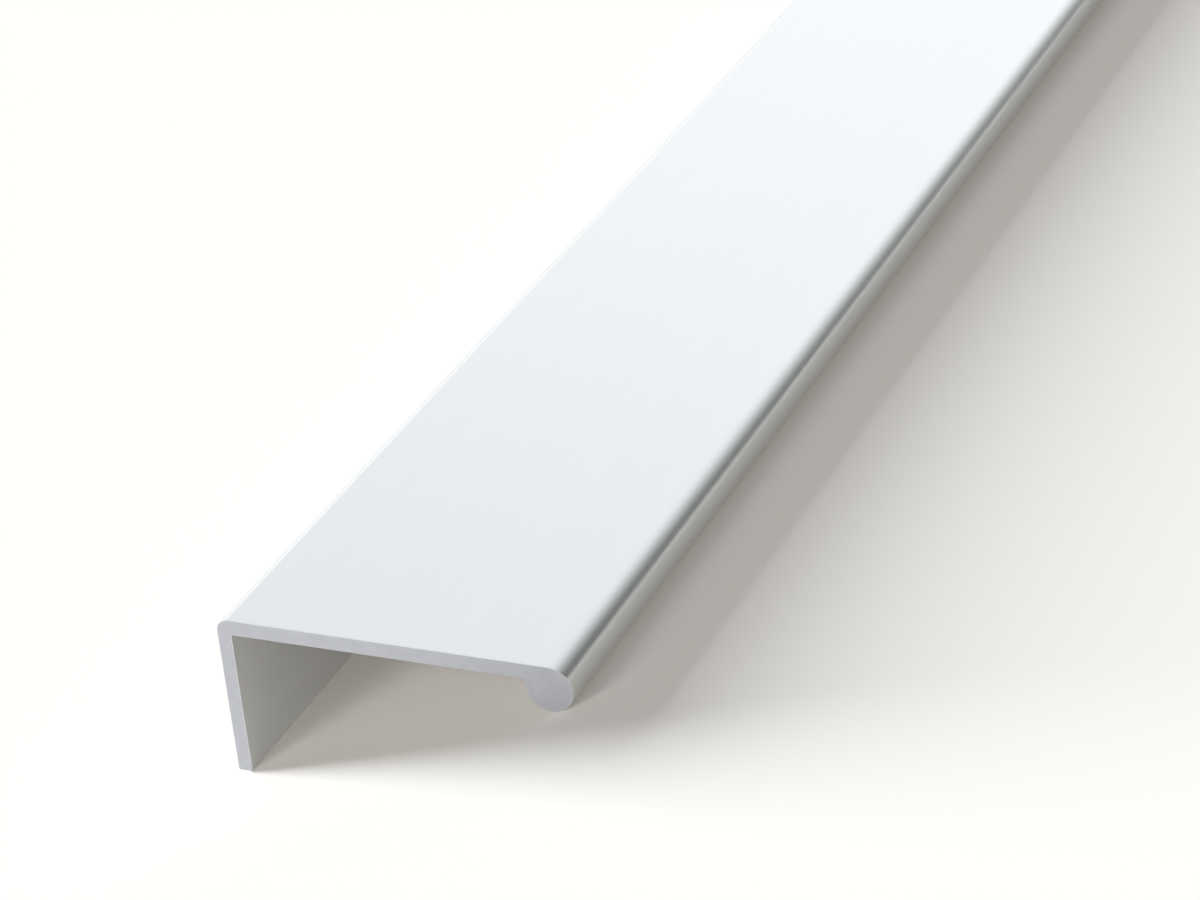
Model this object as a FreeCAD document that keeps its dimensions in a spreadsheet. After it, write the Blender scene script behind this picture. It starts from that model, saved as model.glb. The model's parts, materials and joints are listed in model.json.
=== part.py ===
# Finger pull profile: one length of extruded aluminium stock that hooks over the edge of a
# furniture front. The leg goes behind the front, the flange lies on its edge and runs on past
# its face, and the round bead along the flange's free edge is the grip.
#
# The section is drawn as it is fitted, leg down and flange level, from the outer corner of the
# leg's toe. Lying loose, the profile stands on the toe's inner edge and on the bead, so the
# body is tipped about its length until both touch the floor.
# Frame: +Z up, +Y along the length, +X from the leg to the bead, origin on the floor under the
# middle of the profile's box.

import FreeCAD, Part
import math
import os

import Sketcher

NODE = "pull_profile"

SIZES = [
    # alias, millimetres, what it is
    ("stock_length", 600.0, "cut length of the stock"),
    ("profile_width", 40.0, "outer face of the leg to the nose of the bead"),
    ("profile_height", 18.5, "toe of the leg to the top of the flange"),
    ("flange_wall", 1.7, "thickness of the flange"),
    ("leg_wall", 1.6, "thickness of the leg"),
    ("bead_diameter", 5.2, "round grip along the flange's free edge"),
    ("corner_radius", 1.4, "outer corner between leg and flange"),
    ("root_radius", 0.2, "inner corner between leg and flange"),
    ("neck_radius", 0.6, "hollow between flange and bead"),
    ("toe_radius", 0.2, "both edges of the leg's toe"),
]

# Points of a sketched line or arc. An arc always runs anticlockwise from START to END.
START, END, CENTRE = 1, 2, 3

# The outline goes round anticlockwise from the toe, and each of its joints is smooth. The root
# and the neck are hollow, so the outline runs through them from END to START.
SMOOTH_JOINTS = [
    ("toe", END, "toe_inner", START),
    ("toe_inner", END, "leg_inner", START),
    ("leg_inner", END, "root", END),
    ("root", START, "flange_under", START),
    ("flange_under", END, "neck", END),
    ("neck", START, "bead", START),
    ("bead", END, "flange_top", START),
    ("flange_top", END, "corner", START),
    ("corner", END, "leg_outer", START),
    ("leg_outer", END, "toe_outer", START),
    ("toe_outer", END, "toe", START),
]


def make_sheet(doc):
    """Spreadsheet of the driving sizes: A names them, B holds them, C says what they are."""
    sheet = doc.addObject("Spreadsheet::Sheet", "Sizes")
    for row, (alias, millimetres, meaning) in enumerate(SIZES, start=1):
        sheet.set(f"A{row}", alias)
        sheet.set(f"B{row}", str(millimetres))
        sheet.setAlias(f"B{row}", alias)
        sheet.set(f"C{row}", meaning)
    doc.recompute()
    return sheet


def section_curves(sheet):
    """The outline's lines and arcs, keyed by name, placed where the constraints hold them."""
    toe, root, neck = sheet.toe_radius, sheet.root_radius, sheet.neck_radius
    corner, bead = sheet.corner_radius, sheet.bead_diameter / 2
    top = sheet.profile_height
    under = top - sheet.flange_wall
    bead_x, bead_y = sheet.profile_width - bead, top - bead
    neck_y = under - neck
    neck_x = bead_x - math.sqrt((bead + neck) ** 2 - (bead_y - neck_y) ** 2)
    waist = math.degrees(math.atan2(bead_y - neck_y, bead_x - neck_x))

    rounds = {
        # name: middle x and y, radius, first and last angle in degrees
        "toe_inner": (sheet.leg_wall - toe, toe, toe, 270, 360),
        "root": (sheet.leg_wall + root, under - root, root, 90, 180),
        "neck": (neck_x, neck_y, neck, waist, 90),
        "bead": (bead_x, bead_y, bead, waist + 180, 450),
        "corner": (corner, top - corner, corner, 90, 180),
        "toe_outer": (toe, toe, toe, 180, 270),
    }
    curves = {}
    for name, (x, y, radius, first, last) in rounds.items():
        circle = Part.Circle(FreeCAD.Vector(x, y, 0), FreeCAD.Vector(0, 0, 1), radius)
        curves[name] = Part.ArcOfCircle(circle, math.radians(first), math.radians(last))

    def end_point(name, end):
        return curves[name].StartPoint if end == START else curves[name].EndPoint

    def line(*ends):
        return Part.LineSegment(*(end_point(name, end) for name, end in ends))

    curves["toe"] = line(("toe_outer", END), ("toe_inner", START))
    curves["leg_inner"] = line(("toe_inner", END), ("root", END))
    curves["flange_under"] = line(("root", START), ("neck", END))
    curves["flange_top"] = line(("bead", END), ("corner", START))
    curves["leg_outer"] = line(("corner", END), ("toe_outer", START))
    return curves


def make_section(body, sheet):
    """Fully constrained sketch of the section, on the body's XZ plane, bound to the sheet."""
    sketch = body.newObject("Sketcher::SketchObject", "Section")
    plane = next(item for item in body.Origin.OriginFeatures if item.Role == "XZ_Plane")
    sketch.AttachmentSupport = [(plane, "")]
    sketch.MapMode = "FlatFace"
    drawn = {
        name: sketch.addGeometry(curve, False) for name, curve in section_curves(sheet).items()
    }

    def constrain(kind, *arguments):
        return sketch.addConstraint(Sketcher.Constraint(kind, *arguments))

    def dimension(name, value, expression, kind, *arguments):
        sketch.renameConstraint(constrain(kind, *arguments, value), name)
        sketch.setExpression(f"Constraints.{name}", expression)

    def sized(alias, kind, *arguments):
        dimension(alias, sheet.get(alias), f"Sizes.{alias}", kind, *arguments)

    for first, first_end, second, second_end in SMOOTH_JOINTS:
        constrain("Tangent", drawn[first], first_end, drawn[second], second_end)
    for upright in ("leg_inner", "leg_outer"):
        constrain("Vertical", drawn[upright])
    for level in ("toe", "flange_under", "flange_top"):
        constrain("Horizontal", drawn[level])
    constrain("Equal", drawn["toe_inner"], drawn["toe_outer"])
    x_axis, y_axis = -1, -2
    constrain("PointOnObject", drawn["toe"], START, x_axis)
    constrain("PointOnObject", drawn["leg_outer"], END, y_axis)

    sized("leg_wall", "DistanceX", drawn["leg_outer"], END, drawn["leg_inner"], START)
    sized("flange_wall", "DistanceY", drawn["flange_under"], START, drawn["flange_top"], END)
    sized("profile_height", "DistanceY", drawn["toe"], START, drawn["flange_top"], END)
    sized("bead_diameter", "Diameter", drawn["bead"])
    sized("corner_radius", "Radius", drawn["corner"])
    sized("root_radius", "Radius", drawn["root"])
    sized("neck_radius", "Radius", drawn["neck"])
    sized("toe_radius", "Radius", drawn["toe_inner"])
    reach = sheet.profile_width - sheet.bead_diameter / 2
    reach_formula = "Sizes.profile_width - Sizes.bead_diameter / 2"
    bead_middle = (drawn["leg_outer"], END, drawn["bead"], CENTRE)
    dimension("bead_reach", reach, reach_formula, "DistanceX", *bead_middle)
    return sketch


def lay_on_floor(body):
    """Tip the body about its length until the toe's inner round and the bead touch the floor.

    From the middle of the toe's inner round to the middle of the bead is a run along the
    flange and a rise along the leg. At rest the bead's middle is higher than the round's by
    the difference of their radii, and that gives the angle.
    """
    toe = "Sizes.toe_radius"
    bead = "Sizes.bead_diameter / 2"
    toe_x = f"(Sizes.leg_wall - {toe})"
    bead_x = f"(Sizes.profile_width - {bead})"
    bead_y = f"(Sizes.profile_height - {bead})"
    run = f"({bead_x} - {toe_x})"
    rise = f"({bead_y} - {toe})"
    tilt = f"(acos(({bead} - {toe}) / sqrt({run} ^ 2 + {rise} ^ 2)) - atan({run} / {rise}))"

    leg_side = f"({toe} * cos({tilt}) + {toe} * sin({tilt}) - {toe})"
    bead_side = f"({bead_x} * cos({tilt}) + {bead_y} * sin({tilt}) + {bead})"
    lowest = f"({toe} * cos({tilt}) - {toe_x} * sin({tilt}) - {toe})"
    body.setExpression("Placement.Rotation.Axis.x", "0")
    body.setExpression("Placement.Rotation.Axis.y", "1")
    body.setExpression("Placement.Rotation.Axis.z", "0")
    body.setExpression("Placement.Rotation.Angle", tilt)
    body.setExpression("Placement.Base.x", f"-({leg_side} + {bead_side}) / 2")
    body.setExpression("Placement.Base.z", f"-{lowest}")


def make_profile(doc, sheet):
    """The length of stock: its section, padded half the length each way."""
    body = doc.addObject("PartDesign::Body", NODE)
    body.Label = NODE
    stock = body.newObject("PartDesign::Pad", "Stock")
    stock.Profile = make_section(body, sheet)
    stock.SideType = "Symmetric"
    stock.setExpression("Length", "Sizes.stock_length")
    lay_on_floor(body)
    return body


def check(doc, body):
    """Stop before anything is written if an object failed or the solid isn't sound."""
    failed = [item.Label for item in doc.Objects if {"Invalid", "Error"} & set(item.State)]
    if failed:
        raise RuntimeError(f"failed: {', '.join(failed)}")
    if not doc.getObject("Section").FullyConstrained:
        raise RuntimeError("the section isn't fully constrained")
    if body.Shape.isNull() or not body.Shape.isValid() or len(body.Shape.Solids) != 1:
        raise RuntimeError(f"{body.Label} isn't one valid solid")


def main():
    doc = FreeCAD.newDocument("FingerPullProfile")
    sheet = make_sheet(doc)
    body = make_profile(doc, sheet)
    doc.recompute()
    check(doc, body)

    box = body.Shape.BoundBox
    print(f"{NODE}: {box.XLength:.2f} x {box.YLength:.2f} x {box.ZLength:.2f} mm")
    print(f"lowest point {box.ZMin:.4f} mm, middle {box.Center.x:.4f}, {box.Center.y:.4f} mm")
    print(f"tipped {math.degrees(body.Placement.Rotation.Angle):.3f} degrees")
    print(f"volume {body.Shape.Volume:.0f} mm3")

    os.makedirs("parts", exist_ok=True)
    body.Shape.exportStep(f"parts/{NODE}.step")


main()
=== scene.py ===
# %% [markdown]
# # A finger pull profile
# The real thing is one length of extruded aluminium that hooks over the edge of a furniture
# front. Its leg goes behind the front, its flange lies on the front's edge and runs on past its
# face, and a round bead along the flange's free edge is what the fingers pull on. The packed
# model is loaded first: it fixes the size and the place of everything that follows.

import json
import math

import bmesh
import bpy
import numpy as np
from mathutils import Matrix, Vector


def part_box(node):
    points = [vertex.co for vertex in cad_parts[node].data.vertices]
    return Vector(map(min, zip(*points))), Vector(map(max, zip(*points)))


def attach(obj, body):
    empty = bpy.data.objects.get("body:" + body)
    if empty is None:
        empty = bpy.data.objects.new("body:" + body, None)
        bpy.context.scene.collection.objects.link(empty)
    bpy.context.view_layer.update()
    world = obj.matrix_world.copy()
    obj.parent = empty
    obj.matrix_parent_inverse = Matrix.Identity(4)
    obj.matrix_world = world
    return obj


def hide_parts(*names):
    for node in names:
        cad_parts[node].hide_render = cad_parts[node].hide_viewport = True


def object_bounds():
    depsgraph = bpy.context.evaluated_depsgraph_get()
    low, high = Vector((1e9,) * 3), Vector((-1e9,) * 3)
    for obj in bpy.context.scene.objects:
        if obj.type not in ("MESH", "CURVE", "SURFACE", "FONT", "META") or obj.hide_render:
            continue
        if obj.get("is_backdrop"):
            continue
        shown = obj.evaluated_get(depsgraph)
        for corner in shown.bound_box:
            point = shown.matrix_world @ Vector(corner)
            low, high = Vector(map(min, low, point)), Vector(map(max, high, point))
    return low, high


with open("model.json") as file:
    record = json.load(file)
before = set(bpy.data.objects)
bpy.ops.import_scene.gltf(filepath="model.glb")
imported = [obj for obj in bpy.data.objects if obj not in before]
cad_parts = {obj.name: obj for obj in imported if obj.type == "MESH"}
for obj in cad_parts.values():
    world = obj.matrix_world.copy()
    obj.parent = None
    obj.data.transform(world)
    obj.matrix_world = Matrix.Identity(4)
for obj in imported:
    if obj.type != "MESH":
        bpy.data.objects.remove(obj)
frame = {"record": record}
NODE = "pull_profile"
MM_PER_METRE = 1000
cad_low, cad_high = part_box(NODE)
cad_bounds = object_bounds()
stock_length = (cad_high.y - cad_low.y) * MM_PER_METRE
lying_height = cad_high.z * MM_PER_METRE
print(f"{NODE} is {stock_length:.0f} mm long and {lying_height:.1f} mm high as it lies")

# %% [markdown]
# ## The section
# Every extrusion is its section carried along a line, so the section is drawn once, in
# millimetres, as the profile is fitted: leg down, flange level, origin at the outer corner of the
# leg's toe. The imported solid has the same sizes, but its round bead comes as some thirty flat
# strips, which a highlight along the bead would show. A subdivision surface would round the
# strips and the sharp root alike, so the outline is worked out again here from true arcs, with
# fine steps only where it turns.

# %% Sizes of the section, in millimetres
PROFILE_WIDTH = 40.0
PROFILE_HEIGHT = 18.5
FLANGE_WALL = 1.7
LEG_WALL = 1.6
BEAD_RADIUS = 2.6
CORNER_RADIUS = 1.4
ROOT_RADIUS = 0.2
NECK_RADIUS = 0.6
TOE_RADIUS = 0.2

underside = PROFILE_HEIGHT - FLANGE_WALL
corner_middle = (CORNER_RADIUS, PROFILE_HEIGHT - CORNER_RADIUS)
root_middle = (LEG_WALL + ROOT_RADIUS, underside - ROOT_RADIUS)
bead_middle = np.array([PROFILE_WIDTH - BEAD_RADIUS, PROFILE_HEIGHT - BEAD_RADIUS])
neck_drop = underside - NECK_RADIUS - bead_middle[1]
neck_run = math.sqrt((BEAD_RADIUS + NECK_RADIUS) ** 2 - neck_drop**2)
neck_middle = bead_middle + (-neck_run, neck_drop)
waist = math.degrees(math.atan2(-neck_drop, neck_run))
print(f"the bead meets its neck at {waist:.1f} degrees")


# %% [markdown]
# The outline has two sides that start under the toe and meet at the nose of the bead, 40 degrees
# below level: the outer one goes up the leg and over the flange, the inner one up inside the
# leg and under the flange. Both have the same number of points, so that each outer point
# has a partner across the wall. That makes the cut end simple: it is a strip between the two.

# %% Arcs, straight runs and the two sides
def arc(centre, radius, first, last, steps, hollow=False):
    """Points centre + radius * (cos a, sin a) for angles a from first to last, in degrees, and
    their outward normals, which are the spokes, or point to the centre where the arc is hollow."""
    angles = np.radians(np.linspace(first, last, steps + 1))
    spokes = np.stack([np.cos(angles), np.sin(angles)], axis=1)
    return np.asarray(centre) + radius * spokes, -spokes if hollow else spokes


def crowded(steps):
    """Shares from 0 to 1 that lie close together at both ends: (1 - cos(pi * t)) / 2."""
    return (1 - np.cos(np.pi * np.linspace(0, 1, steps + 1))) / 2


def run(before, after, steps):
    """Points along the straight run from the end of one arc to the start of the next, crowded
    towards both and without its two ends, with the one normal that the arcs have there."""
    share = crowded(steps)[1:-1, None]
    points = (1 - share) * before[0][-1] + share * after[0][0]
    return points, np.repeat(before[1][-1:], steps - 1, axis=0)


def side(toe, bend, *tip):
    """One side of the outline, from the toe to the nose: points and normals of its arcs in
    order, with straight runs for the leg and the flange between them."""
    pieces = [toe, run(toe, bend, LEG_STEPS), bend, run(bend, tip[0], FLANGE_STEPS), *tip]
    return tuple(np.concatenate([piece[k] for piece in pieces]) for k in (0, 1))


TOE_STEPS, LEG_STEPS, BEND_STEPS, FLANGE_STEPS, NECK_STEPS, BEAD_STEPS = 5, 24, 20, 40, 20, 50
NOSE = -40.0

outer_points, outer_normals = side(
    arc((TOE_RADIUS, TOE_RADIUS), TOE_RADIUS, 270, 180, TOE_STEPS),
    arc(corner_middle, CORNER_RADIUS, 180, 90, BEND_STEPS),
    arc(bead_middle, BEAD_RADIUS, 90, NOSE, NECK_STEPS + BEAD_STEPS),
)
bead_from_neck = arc(bead_middle, BEAD_RADIUS, 180 + waist, 360 + NOSE, BEAD_STEPS)
inner_points, inner_normals = side(
    arc((LEG_WALL - TOE_RADIUS, TOE_RADIUS), TOE_RADIUS, 270, 360, TOE_STEPS),
    arc(root_middle, ROOT_RADIUS, 180, 90, BEND_STEPS, hollow=True),
    arc(neck_middle, NECK_RADIUS, 90, waist, NECK_STEPS, hollow=True),
    tuple(part[1:] for part in bead_from_neck),
)
print(f"{len(outer_points)} points on the outer side, {len(inner_points)} on the inner one")

# %% [markdown]
# ## The skin
# The skin is one surface of two parameters: a step round the outline, and a step along a path
# that starts on the middle line of the near end's cut face, spreads out to its edge, turns over
# the edge, runs the whole length and ends on the middle line of the far end's face. Every row of
# the grid is the outline, shrunk towards the wall's middle line and inset along its normals. That
# line lies halfway between the two sides, but starts half a wall above the toe and runs through
# the neck to the middle of the bead, so that the outline shrinks onto it without a fold. An
# extrusion of a flat outline would give the same length of stock, but with knife-sharp ends: a
# real cut is deburred, and its narrow rounded edge is what catches the light.

# %% The outline as a ring, the wall's middle line, and the rows along the path
END_EDGE = 0.04
CUT_ROWS, EDGE_ROWS, LENGTH_ROWS = 5, 5, 80


def as_ring(outer, inner):
    """Once round: the outer side from toe to nose, the inner side back to the toe, and the
    first point again, so that the map doesn't wrap within a face."""
    return np.concatenate([outer, inner[-2::-1], outer[:1]])


ring = as_ring(outer_points, inner_points)
ring_normals = as_ring(outer_normals, inner_normals)
middle_line = (outer_points + inner_points) / 2
middle_line[:, 1] = np.maximum(middle_line[:, 1], LEG_WALL / 2)
middle_line[-BEAD_STEPS:] = bead_middle
neck = slice(-(NECK_STEPS + BEAD_STEPS + 1), -BEAD_STEPS)
middle_line[neck] = np.linspace(middle_line[neck][0], bead_middle, NECK_STEPS + 1)
middle = as_ring(middle_line, middle_line)


def path_rows(length):
    """Scale, inset and distance from the near end for each row. On a cut face the scale grows
    from 0 to 1 as 1 - t ** 3, for t from 1 to 0. Over its edge, for a turn a from 0 to 90
    degrees, the inset is edge * (1 - sin a) and the distance is edge * (1 - cos a). The far half
    mirrors the near half."""
    turns = np.radians(np.linspace(0, 90, EDGE_ROWS + 1))
    spread = 1 - np.linspace(1, 0, CUT_ROWS + 1)[:-1] ** 3
    scale = np.concatenate([spread, np.ones(EDGE_ROWS + 1)])
    inset = np.concatenate([np.full(CUT_ROWS, END_EDGE), END_EDGE * (1 - np.sin(turns))])
    along = np.concatenate([np.zeros(CUT_ROWS), END_EDGE * (1 - np.cos(turns))])
    between = END_EDGE + (length - 2 * END_EDGE) * crowded(LENGTH_ROWS)[1:-1]
    return (
        np.concatenate([scale, np.ones(LENGTH_ROWS - 1), scale[::-1]]),
        np.concatenate([inset, np.zeros(LENGTH_ROWS - 1), inset[::-1]]),
        np.concatenate([along, between, length - along[::-1]]),
    )


scale, inset, along = path_rows(stock_length)
print(f"{len(ring)} steps round the outline and {len(along)} rows along the path")

# %% [markdown]
# ## How it lies
# Fitted, the flange is level. Loose on a floor, the profile can't stand like that: it tips until
# the toe and the bead both touch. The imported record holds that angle, because the mount under
# the flange has the flange's own normal. So the section is turned by it and stood on the floor,
# with its box in the middle of the frame.

# %% From the section to the place in the frame
under_face = next(m for m in frame["record"]["mounts"] if m["name"] == "front_edge_face")
tilt = math.atan2(-under_face["axis"][0], -under_face["axis"][2])
turn = np.array([[math.cos(tilt), math.sin(tilt)], [-math.sin(tilt), math.cos(tilt)]])
tipped = ring @ turn.T
stand = -np.array([(tipped[:, 0].min() + tipped[:, 0].max()) / 2, tipped[:, 1].min()])


def placed(section, along):
    """Points in the frame, in metres: the section's (x, z) turned by the tilt and stood on the
    floor, and the distance from the near end as y."""
    cross = (np.asarray(section) @ turn.T + stand) / MM_PER_METRE
    y = cad_low.y + np.asarray(along) / MM_PER_METRE + np.zeros(cross.shape[:-1])
    return np.stack([cross[..., 0], y, cross[..., 1]], axis=-1)


print(f"tipped {math.degrees(tilt):.2f} degrees, moved {stand.round(2)} mm across and up")


# %% [markdown]
# The whole grid of points is one array sum, and its faces are one array of row and step numbers.
# The mesh also gets a map for the materials: the distance round the outline and the distance
# along the stock, both in metres, so that a pattern can follow the metal round the bead. The cut
# faces get a material of their own, because the saw went through the anodic film.

# %% The mesh of the skin
MERGE_DISTANCE = 2e-8


def grid_faces(rows, steps):
    """Corner numbers of the quads between neighbouring rows and steps of a grid."""
    row, step = np.meshgrid(np.arange(rows - 1), np.arange(steps - 1), indexing="ij")
    first = (row * steps + step).reshape(-1)
    return np.stack([first, first + steps, first + steps + 1, first + 1], axis=1)


def skin_mesh(name):
    """The grid middle + scale * (ring - inset * normal - middle), row by row, with its map.
    Faces of the cut ends have material 1, the rest material 0."""
    spokes = ring[None] - inset[:, None, None] * ring_normals[None] - middle[None]
    section = middle[None] + scale[:, None, None] * spokes
    points = placed(section, along[:, None])
    rows, steps = points.shape[:2]
    faces = grid_faces(rows, steps)
    mesh = bpy.data.meshes.new(name)
    mesh.from_pydata(points.reshape(-1, 3), [], faces)

    around = np.concatenate([[0], np.cumsum(np.linalg.norm(np.diff(ring, axis=0), axis=1))])
    pattern = np.stack(np.meshgrid(around, along), axis=-1).reshape(-1, 2) / MM_PER_METRE
    unrolled = mesh.uv_layers.new(name="unrolled")
    unrolled.data.foreach_set("uv", pattern[faces.reshape(-1)].astype(np.float32).reshape(-1))

    row = np.repeat(np.arange(rows - 1), steps - 1)
    cut = (row < CUT_ROWS) | (row >= rows - 1 - CUT_ROWS)
    mesh.polygons.foreach_set("material_index", cut.astype(np.int32))
    mesh.polygons.foreach_set("use_smooth", np.ones(len(faces), bool))
    return mesh


def close(mesh):
    """Merge what lies less than a set distance apart, in metres: the seam and the middle lines
    of the cut faces. Then point every face outwards."""
    work = bmesh.new()
    work.from_mesh(mesh)
    bmesh.ops.remove_doubles(work, verts=work.verts, dist=MERGE_DISTANCE)
    bmesh.ops.recalc_face_normals(work, faces=work.faces)
    work.to_mesh(mesh)
    volume = work.calc_volume()
    open_edges = sum(not edge.is_manifold for edge in work.edges)
    work.free()
    return volume, open_edges


skin = bpy.data.objects.new("profile_skin", skin_mesh("profile_skin"))
bpy.context.scene.collection.objects.link(skin)
volume, open_edges = close(skin.data)
volume = volume * MM_PER_METRE**3
print(f"{len(skin.data.polygons)} faces, {volume:.0f} mm3, {open_edges} open edges")

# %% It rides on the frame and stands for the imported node
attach(skin, "root")
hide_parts(NODE)
print(f"{skin.name} is shown in place of {NODE}")


# %% [markdown]
# ## Shader maths
# The finishes below are patterns made of arithmetic. Built node by node that is hard to read, so
# one small class wraps a node's output: a sum or product with it adds a Math node, and its
# method node adds any other.

# %% Outputs that can be added and multiplied
class Wire:
    """An output in a node tree, or with no output, just the tree to start from."""

    def __init__(self, tree, output=None):
        self.tree = tree
        self.output = output

    def node(self, kind, settings=None, sockets=None, output=0):
        """Add a node: its settings first, then the values or links of its sockets. Its output
        comes back, or for a node that has none, the tree."""
        new = self.tree.nodes.new(kind)
        for name, value in (settings or {}).items():
            setattr(new, name, value)
        for name, value in (sockets or {}).items():
            if isinstance(value, Wire):
                self.tree.links.new(value.output, new.inputs[name])
            else:
                new.inputs[name].default_value = value
        return Wire(self.tree, new.outputs[output] if new.outputs else None)

    def sibling(self, name):
        """Another output of the same node."""
        return Wire(self.tree, self.output.node.outputs[name])

    def maths(self, operation, first, second=0.0):
        """A Math node on one or two outputs or numbers."""
        return self.node("ShaderNodeMath", {"operation": operation}, {0: first, 1: second})

    def __add__(self, other):
        return self.maths("ADD", self, other)

    def __radd__(self, other):
        return self.maths("ADD", other, self)

    def __sub__(self, other):
        return self.maths("SUBTRACT", self, other)

    def __rsub__(self, other):
        return self.maths("SUBTRACT", other, self)

    def __mul__(self, other):
        return self.maths("MULTIPLY", self, other)

    def __rmul__(self, other):
        return self.maths("MULTIPLY", other, self)


def empty_tree(owner):
    """The node tree of a material or world, with its first nodes taken out."""
    owner.use_nodes = True
    owner.node_tree.nodes.clear()
    return Wire(owner.node_tree)


def stretched(vector, factors):
    """A vector times one factor for each of its axes."""
    return vector.node("ShaderNodeVectorMath", {"operation": "MULTIPLY"}, {0: vector, 1: factors})


def noise(vector, scale=1.0, detail=2.0):
    """Noise about 0.5, from 0 to 1, with about as many grains to a metre as the scale says."""
    sockets = {"Vector": vector, "Scale": scale, "Detail": detail}
    return vector.node("ShaderNodeTexNoise", {"noise_dimensions": "3D"}, sockets)


def tinted(factor, low, high):
    """A colour that goes from low to high as the factor goes from 0 to 1. In a Mix node, the
    sockets 6 and 7 and the output 2 are those for colours."""
    low, high = (tint if isinstance(tint, Wire) else (*tint, 1) for tint in (low, high))
    return factor.node("ShaderNodeMix", {"data_type": "RGBA"}, {0: factor, 6: low, 7: high}, 2)


def ramp(value, first, last, shape="SMOOTHSTEP"):
    """From 0 to 1 while the value goes from first to last, and level on both sides."""
    sockets = {"Value": value, "From Min": first, "From Max": last}
    return value.node("ShaderNodeMapRange", {"interpolation_type": shape}, sockets)


# %% [markdown]
# ## Satin anodised aluminium
# Before anodising, the profile is etched matt, which leaves a fine silky grain and all but hides
# the lines that the die drew along it. A brushed look from an anisotropic shader would be too
# strong for that. So the shader is a plain rough metal, and faint patterns disturb it: a grain
# of about a tenth of a millimetre, the clouds that the bath leaves, and the lines and bands of
# the die. These are noise pulled out along the stock on the unrolled map, so that they also run
# along the bead. All together they stir the roughness and the colour by a few hundredths, and
# tilt the surface by less than a degree.

# %% The skin's patterns, in grains to a metre, its tones, and its relief in metres
# The die's lines and bands are given round the outline and along the stock.
DIE_LINES = (6000, 4, 0)
DIE_BANDS = (420, 1.5, 0)
ETCHED_GRAIN = 9000
BATH_CLOUDS = 35
SKIN_GREY = (0.83, 0.85, 0.865)
SKIN_SILVER = (0.89, 0.905, 0.915)
SKIN_ROUGHNESS = 0.28
SKIN_RELIEF = 1.2e-6


# %% The anodised skin
def metal(tree, colour, roughness, height, relief):
    """A metal with a colour, a roughness, and a surface that rises by height times relief, for
    a height from 0 to 1 and a relief in metres."""
    sockets = {
        "Base Color": colour,
        "Metallic": 1.0,
        "Roughness": roughness,
        "Normal": tree.node("ShaderNodeBump", None, {"Height": height, "Distance": relief}),
    }
    surface = tree.node("ShaderNodeBsdfPrincipled", None, sockets)
    tree.node("ShaderNodeOutputMaterial", None, {"Surface": surface})


def anodised(name):
    """Rough metal with die lines and bands along the stock, cloudiness from the bath and a fine
    grain. Each pattern is a noise, and tone, height and roughness are weighted sums of them."""
    material = bpy.data.materials.new(name)
    tree = empty_tree(material)
    unrolled = tree.node("ShaderNodeUVMap", {"uv_map": "unrolled"})
    place = tree.node("ShaderNodeTexCoord").sibling("Object")
    die_lines = noise(stretched(unrolled, DIE_LINES), detail=3)
    die_bands = noise(stretched(unrolled, DIE_BANDS))
    grain = noise(place, scale=ETCHED_GRAIN, detail=1)
    bath = noise(place, scale=BATH_CLOUDS)

    tone = 0.5 * die_bands + 0.25 * bath + 0.25 * grain
    height = 0.6 * die_lines + 0.4 * grain
    roughness = SKIN_ROUGHNESS + 0.04 * die_lines + 0.03 * die_bands + 0.02 * grain
    metal(tree, tinted(tone, SKIN_GREY, SKIN_SILVER), roughness, height, SKIN_RELIEF)
    return material


skin.data.materials.append(anodised("satin_anodised"))
print(f"{skin.data.materials[0].name}: roughness from {SKIN_ROUGHNESS}, relief {SKIN_RELIEF} m")


# %% [markdown]
# ## The sawn end
# The end is cut after anodising, so it is bare aluminium: greyer, duller, and marked by the saw.
# The teeth of a circular blade leave arcs about the blade's axis, at the pitch of its feed. A
# wave on the distance from that axis draws them, and noise breaks them up. Modelled grooves
# would be finer than a pixel, so this is bump.

# %% The saw, in metres, and the cut that it leaves
# The shake is in radians, the patches and the grain are counted to a metre.
SAW_AXIS = (0.03, 0.0, -0.11)
SAW_PITCH = 0.00022
SAW_SHAKE = 6
CUT_PATCHES = 700
CUT_GRAIN = 8000
CUT_GREY = (0.67, 0.685, 0.725)
CUT_SILVER = (0.775, 0.79, 0.83)
CUT_ROUGHNESS = 0.78
CUT_RELIEF = 2.5e-6


# %% The bare cut
def sawn(name):
    """Rings at a pitch about the blade's axis: sin(2 pi * distance / pitch + shake * noise), with
    the distance measured across the stock. The saw's marks are the rings times the same noise,
    so they come and go."""
    material = bpy.data.materials.new(name)
    tree = empty_tree(material)
    place = tree.node("ShaderNodeTexCoord").sibling("Object")
    across_stock = stretched(place, (1, 0, 1))
    from_axis = tree.node(
        "ShaderNodeVectorMath", {"operation": "DISTANCE"}, {0: across_stock, 1: SAW_AXIS}
    ).sibling("Value")
    patches = noise(place, scale=CUT_PATCHES)
    grain = noise(place, scale=CUT_GRAIN)
    phase = from_axis * (2 * math.pi / SAW_PITCH) + SAW_SHAKE * patches
    rings = 0.5 + 0.5 * phase.maths("SINE", phase)
    marks = rings * patches

    tone = 0.6 * patches + 0.4 * marks
    height = 0.5 * marks + 0.5 * grain
    roughness = CUT_ROUGHNESS + 0.1 * grain + 0.06 * marks
    metal(tree, tinted(tone, CUT_GREY, CUT_SILVER), roughness, height, CUT_RELIEF)
    return material


skin.data.materials.append(sawn("sawn_aluminium"))
print(f"{skin.data.materials[1].name}: roughness from {CUT_ROUGHNESS}, relief {CUT_RELIEF} m")


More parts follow.
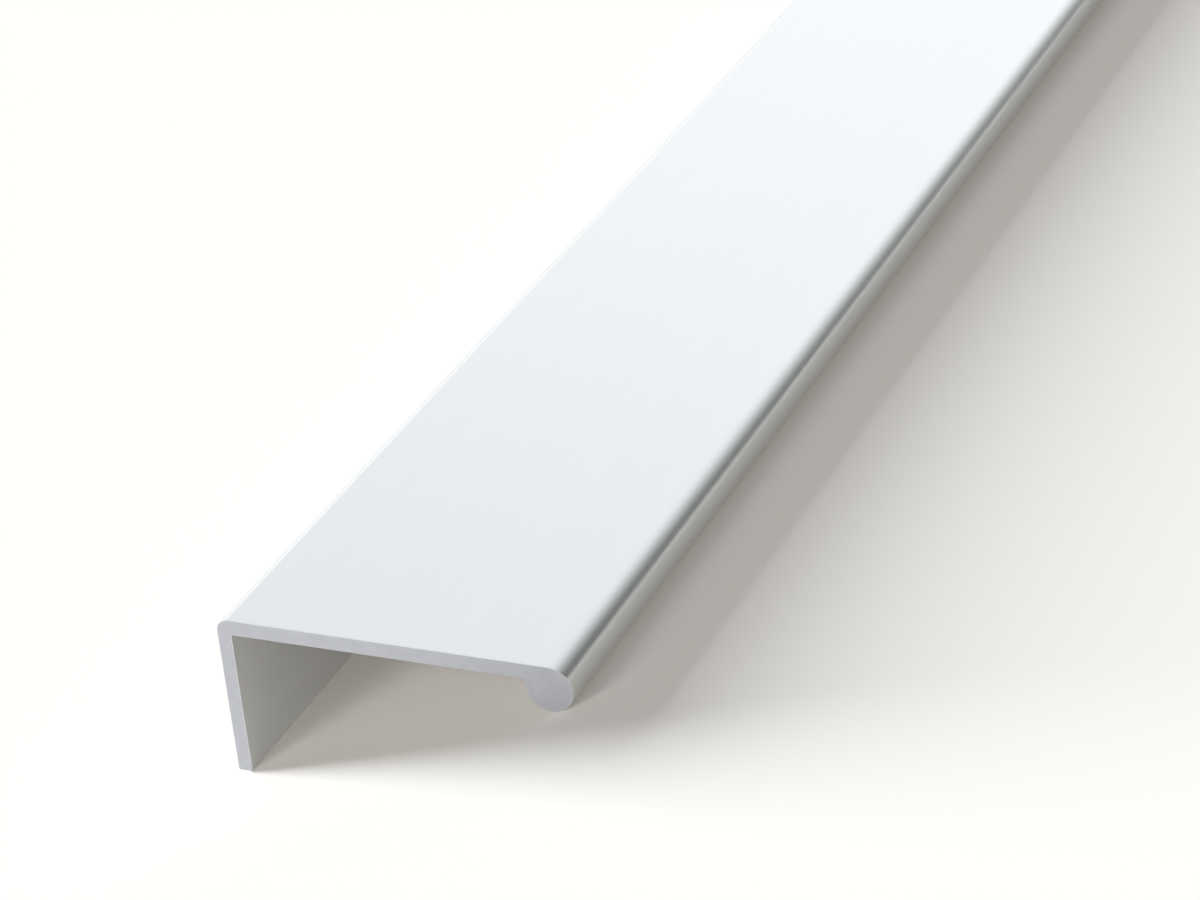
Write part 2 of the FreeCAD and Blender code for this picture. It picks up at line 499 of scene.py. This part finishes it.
# %% [markdown]
# ## The studio
# A silvery surface looks like what it reflects, so the sky is painted by what the profile has to
# show. The flange shows the sky behind it: bright, slightly cool, and brighter still lower down,
# so that the flange grows paler with distance. Below that gleam the sky is hazy again, because
# the leg mirrors that part when seen from the left, and would vanish against the white floor. As
# the bead curves down it turns from the sky to a dark card, low at the back right, and the smooth
# change between the two is its shading. The metal needs this sky at full strength, but on the
# floor it would fill the shadow, so it is dimmed for what dull surfaces scatter.

# %% The tints of the sky, and where they change on a ball of radius 1 round the profile
BACK = (0.80, 0.825, 0.845)
GLEAM = (1.31, 1.315, 1.31)
HAZE = (0.78, 0.79, 0.80)
FRONT = (0.80, 0.79, 0.775)
CARD = (0.05, 0.06, 0.045)
GLEAM_TO_BACK = (0.42, 0.66)
HAZE_TO_GLEAM = (0.08, 0.36)
FRONT_TO_BACK = (0.0, 0.6)
CARD_TO_RIGHT = (0.06, 0.61)
CARD_TO_BACK = (0.1, 0.4)
CARD_TOP = (0.62, 0.78)
SKY_ON_PAPER = 0.3

# %% A bright sky with a dark card low at the back right
world = bpy.data.worlds.new("studio")
bpy.context.scene.world = world
tree = empty_tree(world)
direction = tree.node("ShaderNodeTexCoord")
across = tree.node("ShaderNodeSeparateXYZ", None, {0: direction})
behind, height = across.sibling("Y"), across.sibling("Z")

back = tinted(ramp(height, *GLEAM_TO_BACK), GLEAM, BACK)
back = tinted(ramp(height, *HAZE_TO_GLEAM), HAZE, back)
sky = tinted(ramp(behind, *FRONT_TO_BACK), FRONT, back)
card = ramp(across, *CARD_TO_RIGHT, "LINEAR") * ramp(behind, *CARD_TO_BACK)
card = card * (1 - ramp(height, *CARD_TOP))
sky = tinted(card, sky, CARD)

on_paper = tree.node("ShaderNodeLightPath").sibling("Is Diffuse Ray")
strength = 1 - (1 - SKY_ON_PAPER) * on_paper
light = tree.node("ShaderNodeBackground", None, {"Color": sky, "Strength": strength})
tree.node("ShaderNodeOutputWorld", None, {"Surface": light})
print(f"the sky is at full strength for the metal and at {SKY_ON_PAPER} for the floor")

# %% [markdown]
# A low soft light from the left, and a little from behind, draws the shadow past the bead and out
# in front of the near end. A weak one from the front left reaches in under the flange. Both are
# kept out of reflections: a lamp that the metal mirrors would burn a white patch into the leg
# when seen from the left.

# %% The key light and the fill light
COOL = (0.955, 0.975, 1.0)
WARM = (1.0, 0.97, 0.92)


def soft_sun(name, bearing, height, spread, strength, colour):
    """Light from a bearing, clockwise from the far end as seen from above, and a height, spread
    over a disc of the sky; all three in degrees."""
    light = bpy.data.lights.new(name, "SUN")
    light.energy = strength
    light.angle = math.radians(spread)
    light.color = colour
    sun = bpy.data.objects.new(name, light)
    sun.rotation_euler = (math.radians(90 - height), 0, math.radians(180 - bearing))
    sun.visible_glossy = False
    bpy.context.scene.collection.objects.link(sun)
    print(f"the {name} light is {height} degrees high and spread over {spread} degrees")


soft_sun("key", bearing=-75.5, height=12.0, spread=19.0, strength=10.7, colour=COOL)
soft_sun("fill", bearing=-158.0, height=27.0, spread=32.0, strength=1.0, colour=WARM)

# %% [markdown]
# The floor is a plain pale sheet, large enough to fill all but the lowest views. A little of its
# brightness is light of its own, and only for what looks at it: the camera, reflections and
# glass. So it shows white and still takes the shadow, and that light falls on nothing else. It
# is warm, and counts most where the lamps don't reach, so the shadow is warm beside the metal.

# %% The floor
FLOOR_COLOUR = (0.86, 0.855, 0.835)
FLOOR_GLOW = 0.10
GLOW_COLOUR = (0.97, 0.87, 0.75)
NO_GLOW = (0.0, 0.0, 0.0)
FLOOR_REACH = 10.0

corners = [(x * FLOOR_REACH, y * FLOOR_REACH, 0) for x, y in ((-1, -1), (1, -1), (1, 1), (-1, 1))]
floor_mesh = bpy.data.meshes.new("floor")
floor_mesh.from_pydata(corners, [], [(0, 1, 2, 3)])
floor = bpy.data.objects.new("floor", floor_mesh)
bpy.context.scene.collection.objects.link(floor)
floor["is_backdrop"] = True

paper = bpy.data.materials.new("paper")
tree = empty_tree(paper)
ray = tree.node("ShaderNodeLightPath")
looked_at = ray.sibling("Is Camera Ray") + ray.sibling("Is Glossy Ray")
looked_at = looked_at + ray.sibling("Is Transmission Ray")
sockets = {
    "Base Color": (*FLOOR_COLOUR, 1),
    "Roughness": 0.9,
    "Specular IOR Level": 0.0,
    "Emission Color": tinted(looked_at, NO_GLOW, GLOW_COLOUR),
    "Emission Strength": FLOOR_GLOW,
}
surface = tree.node("ShaderNodeBsdfPrincipled", None, sockets)
tree.node("ShaderNodeOutputMaterial", None, {"Surface": surface})
floor_mesh.materials.append(paper)
print(f"the floor is {2 * FLOOR_REACH:.0f} m wide")

# %% [markdown]
# ## The camera
# It stands off to the right of the near end, above it, with a long lens, and is turned a little
# about its own axis. Its place and turn are given against the section, as the profile is fitted,
# and are tipped with the profile.

# %% The camera's place, direction and roll, in millimetres and degrees
LENS = 113.6
CAMERA_ACROSS, CAMERA_ALONG, CAMERA_UP = 182.6, -286.4, 214.3
AZIMUTH, ELEVATION, ROLL = (math.radians(angle) for angle in (-25.56, -28.19, -5.79))

look = Vector((
    math.sin(AZIMUTH) * math.cos(ELEVATION),
    math.cos(AZIMUTH) * math.cos(ELEVATION),
    math.sin(ELEVATION),
))
level = Vector((math.cos(AZIMUTH), -math.sin(AZIMUTH), 0))
upright = level.cross(look)
right = level * math.cos(ROLL) + upright * math.sin(ROLL)
up = right.cross(look)
facing = Matrix((right, up, -look)).transposed().to_4x4()

camera_data = bpy.data.cameras.new("camera")
camera_data.lens = LENS
camera = bpy.data.objects.new("camera", camera_data)
where = Vector(placed((CAMERA_ACROSS, CAMERA_UP), CAMERA_ALONG))
camera.matrix_world = Matrix.Translation(where) @ Matrix.Rotation(tilt, 4, "Y") @ facing
bpy.context.scene.collection.objects.link(camera)
bpy.context.scene.camera = camera
print(f"the camera is at {[round(c * MM_PER_METRE) for c in where]} mm")

# %% [markdown]
# ## Finish
# Colours are shown as they are written, without a film look. The box of what was made is written
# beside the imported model's box, so that the two can be compared.

# %% Show, measure and finish
bpy.context.scene.view_settings.view_transform = "Standard"
boxes = {"cad": cad_bounds, "visual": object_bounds()}
for name, (low, high) in boxes.items():
    print(f"{name} box: {[round(c * MM_PER_METRE, 2) for c in high - low]} mm")
